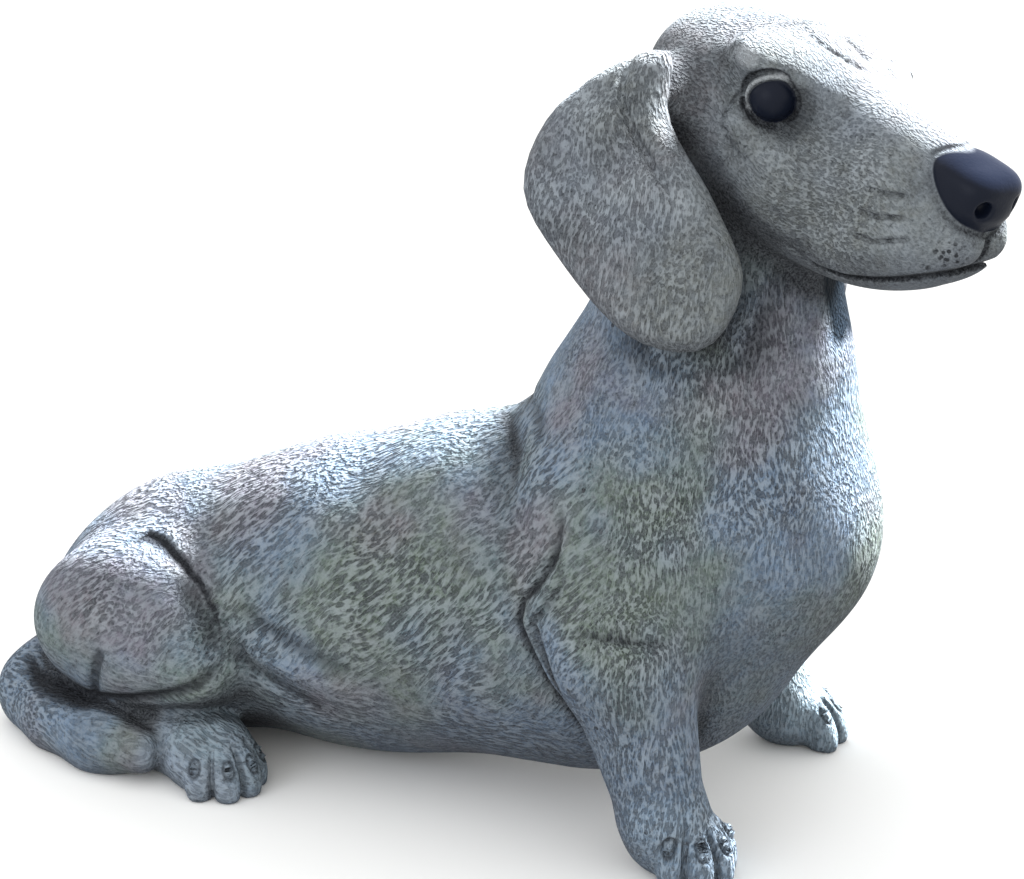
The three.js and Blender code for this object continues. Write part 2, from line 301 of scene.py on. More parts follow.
# Trunk, neck, shoulders, legs and tail, as in the solid
trunk = joined(
    22,
    narrowed(0.86, limb([26, 0, 77], 67, [-62, 0, 67], 59)),
    narrowed(0.86, limb([-62, 0, 67], 59, [-136, 0, 55], 52)),
    egg([-150, 0, 46], [57, 54, 42]),
    egg([79, 0, 116], [57, 50, 52]),
    egg([60, 0, 76], [49, 43, 49]),
    egg([-10, 0, 108], [45, 36, 38]),
    narrowed(0.9, limb([80, 0, 124], 50, [86, 0, 168], 38)))
neck = narrowed(0.9, joined(
    16,
    limb([62, 0, 150], 55, [77, 0, 206], 38),
    limb([77, 0, 206], 38, [84, 4, 256], 35)))
shoulders = both_sides(joined(
    24,
    egg([56, -34, 120], [42, 24, 46]),
    limb([36, -48, 98], 13, [60, -46, 100], 25)))
fore_leg = joined(
    14,
    limb([36, -50, 96], 13, [58, -54, 84], 24),
    limb([60, -55, 84], 24, [75, -57, 26], 16))


def around(centre, heading, reach):
    """A point at a distance from the centre, in a heading counted in degrees from straight ahead."""
    turn = math.radians(heading)
    return np.array(centre) + (reach * math.cos(turn), reach * math.sin(turn), 0)


toe_pitch = -16


def toes(centre, headings, reaches, size):
    """Long ovals that lie side by side round the front of a paw."""
    toe = egg([0, 0, 0], size)
    return joined(2, *[placed(around(centre, heading, reach), (heading, toe_pitch, 0), toe)
                       for heading, reach in zip(headings, reaches)])


fore_middle, fore_headings = [84, -56, 9], (-92, -49, -16, 20)
hind_middle, hind_headings = [-108, -57, 8], (-92, -47, -14, 18)
fore_paw_core = joined(8, egg([80, -56, 12], [17, 14.5, 14.5]), egg([76, -57, 22], [16, 16.5, 16]))
fore_toes = toes(fore_middle, fore_headings, (9, 12, 12.5, 11), [8.5, 6.6, 13.5])
hind_paw_core = joined(
    8,
    limb([-136, -48, 12], 15, [-110, -56, 12], 14.5),
    egg([-111, -57, 11], [16, 15.5, 15]))
hind_toes = toes(hind_middle, hind_headings, (10.5, 12, 12.5, 11), [8.5, 6.8, 13])


def fore_paw(p):
    return melt(fore_paw_core(p), fore_toes(p), 3)


def hind_paw(p):
    return melt(hind_paw_core(p), hind_toes(p), 3)


thigh = joined(
    16,
    placed([-150, -36, 56], [6, -10, 0], egg([0, 0, 0], [47, 27, 35])),
    limb([-150, -46, 40], 14, [-119, -48, 46], 17))
tail = rope(
    16, ([-188, -8, 20], 25), ([-202, -30, 13], 16), ([-184, -46, 11], 12.5),
    ([-160, -57, 11], 12), ([-137, -66, 13], 9))


longest_ray = 40.0
ray_halvings = 24


def seated(form, start, heading):
    """The point where a level ray from the start meets the surface."""
    ray = around((0, 0, 0), heading, 1)
    near, far = 0.0, longest_ray
    for _ in range(ray_halvings):
        middle = (near + far) / 2
        inside = form((np.array(start) + middle * ray)[None, :])[0] < 0
        near, far = (middle, far) if inside else (near, middle)
    return np.array(start) + near * ray


claw_pitch = -28


def claw_set(paw, centre, headings, height, size):
    """Ovals that lean back, seated on the toes."""
    start = np.array(centre) + (0, 0, height)
    claw = egg([0, 0, 0], size)
    return [placed(seated(paw, start, heading), (heading, claw_pitch, 0), claw) for heading in headings]


def clefts(centre, headings):
    """The clefts run on from between the toes up the paw."""
    middles = [(a + b) / 2 for a, b in zip(headings, headings[1:])]
    return [line("xy", [around(centre, middle, reach)[:2] for reach in (11, 18, 26)], (-9, 38), 1.1, 1.3)
            for middle in middles]


fore_claws = claw_set(fore_paw, fore_middle, fore_headings, 8, [1.7, 1.8, 3.7])
hind_claws = claw_set(hind_paw, hind_middle, hind_headings, 6, [1.5, 1.5, 3.1])
fore_clefts = clefts(fore_middle, fore_headings)
hind_clefts = clefts(hind_middle, hind_headings)


def with_claws(d, p, claws):
    """Claws stand a little proud, each with a groove round it."""
    near = np.abs(d) < 5
    if near.any():
        q, value = p[near], d[near]
        for claw in claws:
            off = claw(q)
            value = groove_round(melt(value, off, 0.6), off, 0.8, 0.5, 0.6)
        d[near] = value
    return d


def fore_limb(p):
    d = creased(lambda q: melt(fore_leg(q), fore_paw(q), 5), fore_clefts)(p)
    return with_claws(d, p, fore_claws)


def fore_limbs_form(p):
    low = np.clip(1 - p[:, 2] / elbow_height, 0, 1) * (p[:, 1] >= 0)
    far = np.column_stack([p[:, 0] - stride * low, -p[:, 1] + spread * low, p[:, 2]])
    return fore_limb(np.where(p[:, 1:2] < 0, p, far))


def rear_limbs_form(p):
    p = right_side(p)
    d = melt(thigh(p), creased(hind_paw, hind_clefts)(p), 4)
    return with_claws(d, p, hind_claws)


fore_limbs = within([70, 0, 60], 120, fore_limbs_form)
rear = within([-140, 0, 50], 120, lambda p: melt(rear_limbs_form(p), tail(p), 2))

# Head, drawn about the point between the eyes: x to the nose, y to the dog's left, z up
head_form = joined(
    10,
    egg([-33, 0, -17.5], [41, 36, 30]),
    egg([-12, 0, -9], [29, 30, 27]),
    narrowed(0.82, limb([8, 0, -17], 30, [61, 0, -9], 20)),
    placed([36, 0, -35.5], [0, -17, 0], egg([0, 0, 0], [40, 27, 18])),
    egg([12, 0, -38], [24, 22, 15]),
    both_sides(egg([0, -20, -30], [34, 17, 20])),
    both_sides(egg([51, -9, -22.5], [26, 12, 13])))
lip = egg([68, -6, -16], [15, 9, 10])
brow = placed([-6, -21, 8], [24, 10, 0], egg([0, 0, 0], [17, 9, 6]))
socket = egg([6, -31, -1], [13, 9, 9])
eyeball = egg(eye_place, [eye_radius] * 3)
lid_shell = egg(eye_place, [eye_radius + eyelid_thickness] * 3)
# The lids cover the eye on this side: back, in and up
lid_side, far_lid_side = (-0.76, 0.55, 0.345), (-0.95, 0.0, 0.31)
nose_block = joined(4, block_egg([70, 0, 0.5], [13, 13.5, 9], 3), egg([74, 0, -4], [8.5, 8, 8]))
nostril = placed([81.5, -7.5, -1], [-24, 0, 0], egg([0, 0, 0], [5, 2.6, 3.0]))
# The nose pad ends behind at a slanting plane
nose_back_forward, nose_back_up, nose_back_distance = 0.61, 0.79, 40.0


def nose(p):
    behind = nose_back_distance - nose_back_forward * p[:, 0] - nose_back_up * p[:, 2]
    return -melt(-nose_block(p), -behind, 2.5)


lid_bag = placed([-4, -29, -14], [8, 20, 0], egg([0, 0, 0], [9, 5, 4]))
head_lines = [
    # the mouth and its corner
    line("xz", [
        [29, -43.5], [37, -44.5], [47, -42.5], [57, -38], [65, -33.5], [72, -29], [78, -25], [85, -20]],
        (-40, 40), 0.8, 1.8),
    line("xz", [[22, -40], [28, -42.5], [33, -46], [35, -50]], (-40, 40), 1.6, 0.9),
    # the lip divided under the nose
    line("yz", [[0, -9], [0, -27]], (60, 95), 1.1, 1.8),
    # whisker grooves
    line("xz", [[42, -11.5], [50, -9.6], [59, -6.5]], (-40, 40), 0.8, 1.2),
    line("xz", [[44, -18.5], [52, -16.8], [62, -12.5]], (-40, 40), 0.8, 1.2),
    line("xz", [[46, -25.5], [55, -24.3], [67, -17.5]], (-40, 40), 0.8, 1.1),
    # the lid runs on down the cheek
    line("xz", [[-10.3, -4], [-11.2, -9], [-10.2, -15]], (-50, 50), 0.8, -1.0),
    line("xz", [[-12.3, -2], [-13.3, -9], [-12.4, -18]], (-50, 50), 0.8, 0.9),
    # furrows between the brows
    line("xy", [[-18, -3], [-8, -7], [-2, -7], [6, -4], [14, 1]], (0, 40), 0.9, 1.0),
    line("xy", [[-5, 5], [2, 5.5], [9, 5]], (0, 40), 1.4, 1.0),
    # cheek furrows that run forward from under the eye
    line("xz", [[-12, -12], [-9, -18], [-2, -21], [8, -22], [18, -24], [27, -23], [36, -26]],
         (-50, 50), 2.0, 1.0),
    line("xz", [[12, -39], [20, -41], [28, -40], [34, -36]], (-50, 50), 2.0, 0.6),
    line("xz", [[14, -31], [22, -32], [29, -30], [33, -26]], (-50, 50), 2.2, 0.6),
    # hollow in front of the eye
    line("xz", [[8, 8], [11, 3], [12, -3], [9, -10]], (-50, 50), 2.6, 0.8),
]


def eye_points(p):
    """Folded to the dog's right, with the far eye a little further forward."""
    q = right_side(p)
    q[:, 0] -= far_eye_ahead * ramp(p[:, 1], 2, 12)
    return q


def under_lids(p):
    """How far points are behind the edge of the lids."""
    return ((eye_points(p) - eye_place) * np.where(p[:, 1:2] < 0, lid_side, far_lid_side)).sum(1)


def face(p):
    at_eye, covered = eye_points(p), under_lids(p)
    p = right_side(p)
    d = melt(head_form(p), brow(at_eye), 12)
    d = melt(d, lip(p), 4)
    d = cut_away(d, socket(at_eye), 8)
    d = melt(d, lid_bag(at_eye), 5)
    eye, shell, pad = eyeball(at_eye), lid_shell(at_eye), nose(p)
    d = groove_round(d, eye, 1.3, 0.7, 0.9)
    d = melt(d, -melt(-shell, covered, 0.7), 1.2)
    d = groove_round(d, shell, 1.1, 0.6, 0.9 * ramp(covered, -1.5, 1.5))
    d = melt(d, eye, 0.5)
    d = groove_round(melt(d, pad, 2), pad, 1.4, 1.0, 0.9)
    return cut_away(d, nostril(p), 1.5)


head = placed(head_place, head_turn, creased(face, head_lines))

# Ears: broad leaves with a rolled front edge and soft waves
leaf = [
    [-3, 2], [-4, -19], [-24, -49], [-36, -74], [-26, -97], [-2, -97], [29, -71], [44, -48], [37, -22],
    [13, -2],
]
ear = flap(leaf, ear_thickness, ear_swell)
ear_lines = [
    line("yz", [[9, 0], [11, -8], [10, -18], [5, -28], [-4, -40], [-12, -50]], (-20, 20), 1.7, 2.6),
    line("yz", [[3, -2], [4, -12], [2, -22], [-5, -34]], (-20, 20), 3.0, -1.0),
    line("yz", [[24, -10], [25, -26], [18, -46], [10, -60]], (-20, 20), 5.0, 1.2),
    line("yz", [[-20, -62], [-8, -70], [6, -74], [18, -70]], (-20, 20), 6.0, 1.0),
]
near_ear = placed([62, -31, 295], [93, 20, 0], creased(ear, ear_lines))
far_ear_mirrored = placed([91, -43, 276], [106, 8, 14], creased(ear, ear_lines))
ear_roots = joined(6, egg([54, -20, 277], [16, 14, 13]), egg([92, 35, 276], [16, 14, 15]))


def top_form(p):
    d = melt(head(p), ear_roots(p), 10)
    d = melt(d, near_ear(p), 2.5)
    return melt(d, far_ear_mirrored(p * (1, -1, 1)), 2.5)


top = within([110, -5, 255], 115, top_form)

# Folds of loose skin on both flanks
near_flank, far_flank = (-90, -24), (24, 90)
fold_lines = [
    # a thin double fold behind the shoulder and down the back of the foreleg
    ([[37, 139], [36, 127], [35, 118], [29, 107], [23, 100], [21, 91], [26, 80], [36, 64], [46, 48]],
     1.5, 1.8),
    ([[40, 112], [38, 108], [32, 98], [28, 94], [33, 84], [41, 69], [50, 53]], 1.3, 1.5),
    ([[38, 116], [35, 108], [28, 98], [24.5, 92], [29.5, 82], [38.5, 67]], 1.5, -1.2),
    # where the foreleg leaves the shoulder
    ([[46, 97], [54, 98], [64, 98], [72, 97], [82, 95]], 1.7, 1.3),
    ([[50, 102], [60, 103], [72, 102], [80, 101]], 3.0, -0.7),
    # over the thigh
    ([[-153, 90], [-145, 91.5], [-136, 90], [-126, 85.5], [-117, 79], [-110, 70], [-106, 58]], 1.3, 1.8),
    ([[-128, 82], [-119, 75], [-111, 64], [-108, 54]], 4.5, 1.3),
    # under the thigh and along the folded shin
    ([[-207, 33], [-203, 29], [-195, 26], [-183, 25], [-168, 26], [-156, 30], [-144, 32], [-128, 37],
      [-116, 42], [-109, 47], [-104, 56]], 2.6, 2.4),
    ([[-153, 53], [-156, 46], [-158, 39], [-161, 29]], 2.3, 2.6),
    # soft folds between thigh and belly
    ([[-104, 60], [-95, 50], [-78, 43], [-60, 34]], 4.0, 1.3),
    ([[-104, 76], [-88, 70], [-70, 63], [-46, 55]], 5.0, 1.2),
    ([[-98, 56], [-80, 53], [-62, 47], [-44, 40]], 4.0, -0.9),
]
folds = [line("xz", points, span, width, depth) for points, width, depth in fold_lines
         for span in (near_flank, far_flank)]
# Shallow wrinkles across the withers
wither_wrinkles = (
    [(-12, 4), (-4, -8), (2, -18), (10, -31), (12, -42)],
    [(2, 2), (9, -12), (16, -26), (24, -42)])
for side in (1, -1):
    folds += [line("xy", [(x, side * y) for x, y in wrinkle], (110, 165), 2.0, 0.8)
              for wrinkle in wither_wrinkles]


def torso(p):
    return melt(melt(trunk(p), neck(p), 24), shoulders(p), 16)


def skin(p):
    d = melt(torso(p), fore_limbs(p), 8)
    d = melt(d, rear(p), 8)
    return melt(d, top(p), 7)


statue = creased(skin, folds)


def standing(p):
    """The statue cut flat at the floor, with the cast edge a little rounded."""
    return cut_away(statue(p), p[:, 2], 1.2)


# The fine body: a copy of the solid, remeshed, made denser at the face, paws and near ear, and drawn onto the
# carved form
def to_drawing(mesh_points):
    return mesh_points * 1000 / drawing_scale + drawing_middle


def to_metres(points):
    return (points - drawing_middle) * drawing_scale / 1000


def mesh_points(mesh):
    flat = np.empty(len(mesh.vertices) * 3)
    mesh.vertices.foreach_get("co", flat)
    return flat.reshape(-1, 3)


def vertex_normals(mesh):
    flat = np.empty(len(mesh.vertices) * 3)
    mesh.vertices.foreach_get("normal", flat)
    return flat.reshape(-1, 3)


def set_mesh_points(mesh, points):
    mesh.vertices.foreach_set("co", points.ravel())
    mesh.update()


def slope_of(form, p, value, step=0.05):
    return np.column_stack([(form(p + step * axis) - value) / step for axis in np.eye(3)])


def drawn_on(p, rounds):
    """Moves points onto the skin along its slope."""
    for _ in range(rounds):
        value = standing(p)
        slope = slope_of(standing, p, value)
        steepness = np.maximum((slope * slope).sum(1), least_steepness)
        move = np.clip(value, -most_move, most_move) / steepness
        p = p - move[:, None] * slope
    return p


def remeshed(source, step):
    """A closed copy of a node in even quads."""
    merged = bmesh.new()
    merged.from_mesh(source.data)
    bmesh.ops.remove_doubles(merged, verts=merged.verts, dist=1e-6)
    mesh = bpy.data.meshes.new("cast_body")
    merged.to_mesh(mesh)
    merged.free()
    piece = bpy.data.objects.new("cast_body", mesh)
    bpy.context.scene.collection.objects.link(piece)
    even = piece.modifiers.new("even", "REMESH")
    even.mode = "VOXEL"
    even.voxel_size = step / 1000
    evaluated = piece.evaluated_get(bpy.context.evaluated_depsgraph_get())
    piece.data = bpy.data.meshes.new_from_object(evaluated)
    piece.modifiers.clear()
    return piece


def denser(piece, wanted):
    """Subdivides the faces whose corners are all wanted."""
    body = bmesh.new()
    body.from_mesh(piece.data)
    body.verts.ensure_lookup_table()
    for facet in body.faces:
        facet.tag = all(wanted[corner.index] for corner in facet.verts)
    edges = [edge for edge in body.edges if any(facet.tag for facet in edge.link_faces)]
    bmesh.ops.subdivide_edges(body, edges=edges, cuts=1, use_grid_fill=True)
    body.to_mesh(piece.data)
    body.free()


def in_head(p):
    return (p - head_place) @ turned_axes(head_turn)


def face_paws_and_ear(p):
    h = in_head(p)
    of_face = (h[:, 0] > -26) & (np.abs(h[:, 1]) < 44) & (h[:, 2] > -60) & (h[:, 2] < 34)
    at_fore_or_hind = (p[:, 0] > 64) | (np.abs(p[:, 0] + 100) < 24)
    of_paws = at_fore_or_hind & (p[:, 2] < 34) & (p[:, 2] > 1.5) & (np.abs(p[:, 1]) > 34)
    of_near_ear = (p[:, 2] > 176) & (top(p) > skin(p) - 0.1) & (p[:, 0] < 90) & (p[:, 1] < -20)
    return of_face | of_paws | of_near_ear


def eyes_mouth_nose_and_claws(p):
    h = right_side(in_head(p))
    of_eye = np.linalg.norm(eye_points(in_head(p)) - eye_place, axis=1) < 15
    of_mouth = (h[:, 0] > 26) & (np.abs(line_press(h, head_lines)) > 0.06)
    of_nose = nose(h) < 3
    of_claws = np.zeros(len(p), bool)
    q = right_side(p)
    for place in ((94, -59, 14), (-96, -61, 12)):
        of_claws |= np.linalg.norm((q - place) / (1, 1.25, 1), axis=1) < 19
    return of_eye | of_mouth | of_nose | of_claws


def draw_on_skin(piece, rounds):
    set_mesh_points(piece.data, to_metres(drawn_on(to_drawing(mesh_points(piece.data)), rounds)))


cast_body = remeshed(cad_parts["dachshund"], body_mesh_step)
draw_on_skin(cast_body, 2)
denser(cast_body, face_paws_and_ear(to_drawing(mesh_points(cast_body.data))))
denser(cast_body, eyes_mouth_nose_and_claws(to_drawing(mesh_points(cast_body.data))))

smoothing = bmesh.new()
smoothing.from_mesh(cast_body.data)
bmesh.ops.smooth_vert(smoothing, verts=smoothing.verts, factor=0.5,
                      use_axis_x=True, use_axis_y=True, use_axis_z=True)
bmesh.ops.triangulate(smoothing, faces=smoothing.faces)
smoothing.to_mesh(cast_body.data)
smoothing.free()
draw_on_skin(cast_body, 3)

if len(cast_body.data.polygons) > most_triangles:
    thinner = cast_body.modifiers.new("thinner", "DECIMATE")
    thinner.ratio = most_triangles / len(cast_body.data.polygons)
    evaluated = cast_body.evaluated_get(bpy.context.evaluated_depsgraph_get())
    cast_body.data = bpy.data.meshes.new_from_object(evaluated)
    cast_body.modifiers.clear()
    draw_on_skin(cast_body, 1)
cast_body.data.shade_smooth()


# What the finish and its painted shade and highlights read from the shape: shares from 0 to 1 at each vertex,
# and the gap to the painted parts
points = to_drawing(mesh_points(cast_body.data))
normals = vertex_normals(cast_body.data)
x, y, z = points.T
on_right = right_side(points)
in_face = in_head(points)
face_on_right = right_side(in_face)
at_eye = eye_points(in_face)
behind_lid_edge = under_lids(in_face)
near_ear_gap = near_ear(points)
on_head = ramp(top(points) - torso(points), 4, -4)
on_ear = ramp(np.minimum(near_ear_gap, far_ear_mirrored(points * (1, -1, 1))), 2.0, 0.5)


def keep_number(name, values):
    numbers = cast_body.data.attributes.new(name, "FLOAT", "POINT").data
    numbers.foreach_set("value", values.astype(np.float32))


def near_spot(p, centre, radii, far, close):
    """One close to a spot and none far from it, in radii of the spot."""
    return ramp(np.linalg.norm((p - centre) / radii, axis=1), far, close)


def hollows():
    """How much the rest of the statue closes in over a point, felt at three heights above it. The seam behind
    the brow is left out, and the top of the head is counted less."""
    share = np.zeros(len(points))
    for height, weight in ((2.5, 0.4), (7, 0.35), (20, 0.25)):
        share += weight * np.clip(1 - statue(points + height * normals) / height, 0, 1)
    share *= 1 - near_spot(in_face, (-21, -28, 12), 1, 9, 4)
    return share * (1 - 0.35 * ramp(z, 238, 256))


def claw_gap():
    far_foreleg = np.clip(1 - z / elbow_height, 0, 1)[:, None] * (points[:, 1:2] > 0)
    on_foreleg = on_right - far_foreleg * (stride, -spread, 0)
    gaps = [claw(on_foreleg) for claw in fore_claws] + [claw(on_right) for claw in hind_claws]
    return np.minimum.reduce(gaps)


def wash_and_painted_shade():
    """Dark wash, which also paints in their shade, in the carved lines and round claws and lids; painted
    shade in the inner corners of the eyes and round and under the near ear.
    """
    carved_lines = np.maximum(line_press(points, folds), 0.7 * line_press(in_face, head_lines) * (z > 200))
    lid_line = band(lid_shell(at_eye), 1.0, 0.7) * ramp(behind_lid_edge, -9, -3)
    under_ear_shade = ramp(near_ear_gap, 26, 9) * ramp(near_ear_gap, 0.6, 2.0) * ramp(z, 178, 194)
    return np.maximum.reduce([
        0.75 * ramp(carved_lines, 0.3, 1.6),
        0.75 * near_spot(at_eye, (8, -25, -2), (6, 7, 9), 1.6, 0.5),
        0.7 * band(claw_gap(), 0.8, 0.6),
        0.8 * lid_line,
        0.2 * under_ear_shade * ramp(z, 225, 240),
        under_ear_shade * ramp(z, 228, 212)])


def throat_painted_shadow():
    """Painted shadow of the head: a dark patch under the chin, with a sharp lower edge."""
    return ramp(x, 100, 112) * ramp(y, -14, -11) * ramp(y, 40, 25) * ramp(z, 192, 195) * ramp(z, 236, 228)


def painted_highlight():
    """Painted highlights on the edge of the lids and on a patch of the near brow."""
    brow_highlight = near_spot(in_face, (-13, -32, 11), (6, 8, 4), 1.2, 0.5)
    lid_edge = band(behind_lid_edge, 0.5, 0.8) * ramp(np.abs(lid_shell(at_eye)), 1.2, 0.5)
    return 0.45 * brow_highlight + 0.7 * lid_edge


def pores():
    on_lips = near_spot(face_on_right, (77, -11.5, -18), (7, 8, 6), 1.1, 0.6)
    on_neck = near_spot(points, (106, -31, 197), (12, 14, 3), 1.1, 0.6)
    return np.maximum(on_lips, 0.8 * on_neck)


def paint_edge():
    """The gap to the eyes that show between the lids, and to the nose."""
    eyes = np.maximum(eyeball(at_eye) - 0.7, behind_lid_edge + 0.1)
    return np.clip(np.minimum(eyes, nose(face_on_right) - 0.9), -3, 3)


def bare():
    """Where the fur is carved less deep: the end of the muzzle, its bridge and the lowest parts."""
    front = ramp(face_on_right[:, 0], -20, 10)
    return np.maximum.reduce([
        0.55 * ramp(face_on_right[:, 0], 44, 62) * on_head,
        0.5 * ramp(np.abs(face_on_right[:, 2] - 14), 12, 3) * front * on_head,
        0.15 * ramp(z, 30, 14)])


def paws():
    fore_or_hind = np.maximum(ramp(x, 62, 74), ramp(np.abs(x + 106), 32, 22))
    return fore_or_hind * ramp(z, 40, 26) * ramp(np.abs(y), 36, 44)


upright = np.maximum(ramp(z + 0.9 * x, 168, 215), ramp(x, 44, 66))
# Painted shade in hollows, laid over the dark wash that stays there
keep_number("hollow", hollows())
# Dark wash with painted shade in lines, round claws and lids; painted shade at eye corners and near ear
keep_number("wash_and_painted_shade", wash_and_painted_shade())
# Painted shadow of the head under the chin
keep_number("throat_painted_shadow", throat_painted_shadow())
# Painted highlights on the lid edges and the near brow
keep_number("painted_highlight", painted_highlight())
keep_number("pores", pores())
# Painted shade on surfaces that face down
keep_number("underside_shade", ramp(-normals[:, 2], -0.15, 0.75))
keep_number("paint_edge", paint_edge())
keep_number("warm", np.maximum(on_head, on_ear))
keep_number("paws", paws())
keep_number("fur_head", on_head * (1 - on_ear))
keep_number("fur_down", np.clip(upright * (1 - on_head) + on_ear, 0, 1))
keep_number("fur_level", ramp(z, 66, 34) * ramp(x, 52, 30))
keep_number("fur_depth", (1 - bare()) * (1 - 0.25 * on_head))


# Materials
def linear(hex_colour):
    channels = [int(hex_colour[i:i + 2], 16) / 255 for i in (1, 3, 5)]
    return [c / 12.92 if c <= 0.04045 else ((c + 0.055) / 1.055) ** 2.4 for c in channels] + [1.0]


def add_node(material, kind, settings=None, **inputs):
    """One node with its settings, and values or links for its inputs by name."""
    tree = material.node_tree
    made = tree.nodes.new(kind)
    for key, value in (settings or {}).items():
        setattr(made, key, value)
    for key, value in inputs.items():
        name = key.replace("_", " ")
        socket_in = made.inputs[int(key[1:])] if key[1:].isdigit() else made.inputs[name]
        if isinstance(value, bpy.types.NodeSocket):
            tree.links.new(value, socket_in)
        else:
            socket_in.default_value = value
    return made


def new_material(name):
    material = bpy.data.materials.new(name)
    material.use_nodes = True
    material.node_tree.nodes.clear()
    return material


def finished(material, shader):
    add_node(material, "ShaderNodeOutputMaterial", Surface=shader.outputs[0])


def cast_stone_with_wash_and_painted_light():
    """Fine grey concrete cast in a rubber mould, then given a thin dark wash and wiped: the high fur stays
    light and chalky, the grooves and hollows keep the wash, and weather leaves blue, green and brown clouds.
    Over this the colour carries painted shade on surfaces that face down, in hollows, creases and eye corners
    and round the near ear, a painted shadow under the chin, and painted highlights on the lid edges, the near
    brow and the fur ridges.
    Eyes and nose are brushed with blue-black paint."""
    m = new_material("cast stone, antique wash, painted shade and highlights")
    green_cloud, blue_cloud, brown_cloud = linear("#525e51"), linear("#566a80"), linear("#615860")
    head_grey, paw_blue = linear("#5f5f60"), linear("#7e93a6")
    dark_stone, bare_stone, light_stone = linear("#2f3234"), linear("#80868a"), linear("#727a80")
    speck_black, groove_wash_and_shade_black, ridge_wear_and_highlight_grey = linear("#202327"), linear("#1d2025"), linear("#969da2")
    underside_shade_grey, hollow_wash_and_shade_black = linear("#2f3139"), linear("#14151a")
    hole_black, sand_grey = linear("#1d1e22"), linear("#8b9196")
    wash_and_shade_black, throat_shadow_blue, highlight_grey = linear("#101116"), linear("#0c151d"), linear("#a9adb0")
    pore_black, paint_black = linear("#111216"), linear("#0b101c")
    place = add_node(m, "ShaderNodeTexCoord").outputs["Object"]

    def number(name):
        return add_node(m, "ShaderNodeAttribute", {"attribute_name": name}).outputs["Fac"]

    def noise(vector, scale, detail=2.0, rough=0.5):
        return add_node(m, "ShaderNodeTexNoise", Vector=vector, Scale=scale, Detail=detail,
                        Roughness=rough).outputs["Fac"]

    def maths(operation, a, b, c=0.0):
        return add_node(m, "ShaderNodeMath", {"operation": operation}, _0=a, _1=b, _2=c).outputs[0]

    def times(a, b):
        return maths("MULTIPLY", a, b)

    def spread_between(value, low, high, out_low=0.0, out_high=1.0):
        return add_node(m, "ShaderNodeMapRange", {"interpolation_type": "SMOOTHSTEP"}, Value=value,
                        From_Min=low, From_Max=high, To_Min=out_low, To_Max=out_high).outputs[0]

    def spots(scale):
        return add_node(m, "ShaderNodeTexVoronoi", {"feature": "F1"}, Vector=place,
                        Scale=scale).outputs["Distance"]

    def blend(share, first, second):
        return add_node(m, "ShaderNodeMix", {"data_type": "FLOAT"}, _0=share, _2=first, _3=second).outputs[0]

    def colour_mix(share, first, second):
        return add_node(m, "ShaderNodeMix", {"data_type": "RGBA"}, _0=share, _6=first, _7=second).outputs[2]

    # Combed fur: strokes 1.5 mm apart and 5 mm long on the body, finer on chest and ears and finest on the
    # head, in a few fixed directions that fade into each other. The strokes sway by up to 12 mm over 30 mm.
    sway = add_node(m, "ShaderNodeTexNoise", Vector=place, Scale=30.0, Detail=1.0).outputs["Color"]
    bent = add_node(m, "ShaderNodeVectorMath", {"operation": "MULTIPLY_ADD"}, _0=sway,
                    _1=(0.012, 0.012, 0.012), _2=place).outputs[0]

    def strokes(turn, length, gap):
        """Long streaks along a direction, given as yaw and pitch in degrees."""
        yaw, pitch = (math.radians(angle) for angle in turn)
        laid = add_node(m, "ShaderNodeMapping", {"vector_type": "TEXTURE"}, Vector=bent,
                        Rotation=(0, -pitch, yaw), Scale=(length, gap, gap)).outputs[0]
        streaks = noise(laid, 1.0, 1.0, 0.55)
        return spread_between(streaks, 0.36, 0.62)

    slanting = strokes((0, 47), 0.0052, 0.0015)
    level = strokes((0, -12), 0.0052, 0.0015)
    down = strokes((0, 86), 0.0036, 0.0011)
    headward = strokes((-30, -16), 0.0017, 0.0009)
    fur = blend(number("fur_level"), slanting, level)
    fur = blend(number("fur_down"), fur, down)
    fur = blend(number("fur_head"), fur, headward)
    patchy = spread_between(noise(place, 22.0, 2.0), 0.34, 0.62, 0.5, 1.0)
    depth = times(number("fur_depth"), patchy)
    painted = spread_between(number("paint_edge"), -0.25, 0.25, 1.0, 0.0)
    stone = maths("SUBTRACT", 1.0, painted)

    # Clouds of the wash, 60 to 80 mm across
    clouds = noise(place, 13.0, 3.0, 0.55)
    shifted = add_node(m, "ShaderNodeVectorMath", {"operation": "ADD"}, _0=place,
                       _1=(3.1, 1.7, 5.3)).outputs[0]
    other_clouds = noise(shifted, 17.0, 3.0, 0.55)
    colour = colour_mix(spread_between(clouds, 0.38, 0.58), green_cloud, blue_cloud)
    colour = colour_mix(spread_between(other_clouds, 0.46, 0.64, 0.0, 0.8), colour, brown_cloud)
    colour = colour_mix(times(number("warm"), 0.7), colour, head_grey)
    colour = colour_mix(times(number("paws"), 0.6), colour, paw_blue)
    # Dark and bare patches of 10 to 20 mm, strongest on the head
    patches = noise(shifted, 60.0, 3.0, 0.55)
    patch_share = maths("MULTIPLY_ADD", number("warm"), 0.35, 0.3)
    colour = colour_mix(times(spread_between(patches, 0.50, 0.30), patch_share), colour, dark_stone)
    colour = colour_mix(times(spread_between(patches, 0.52, 0.72), patch_share), colour, bare_stone)
    # Small mottling, 3 to 6 mm
    mottled = noise(place, 230.0, 4.0, 0.6)
    colour = colour_mix(spread_between(mottled, 0.30, 0.70, 0.0, 0.4), colour, light_stone)
    # Dark specks of 1 to 2 mm all over
    specks = noise(shifted, 480.0, 3.0, 0.7)
    colour = colour_mix(spread_between(specks, 0.46, 0.30, 0.0, 0.7), colour, speck_black)
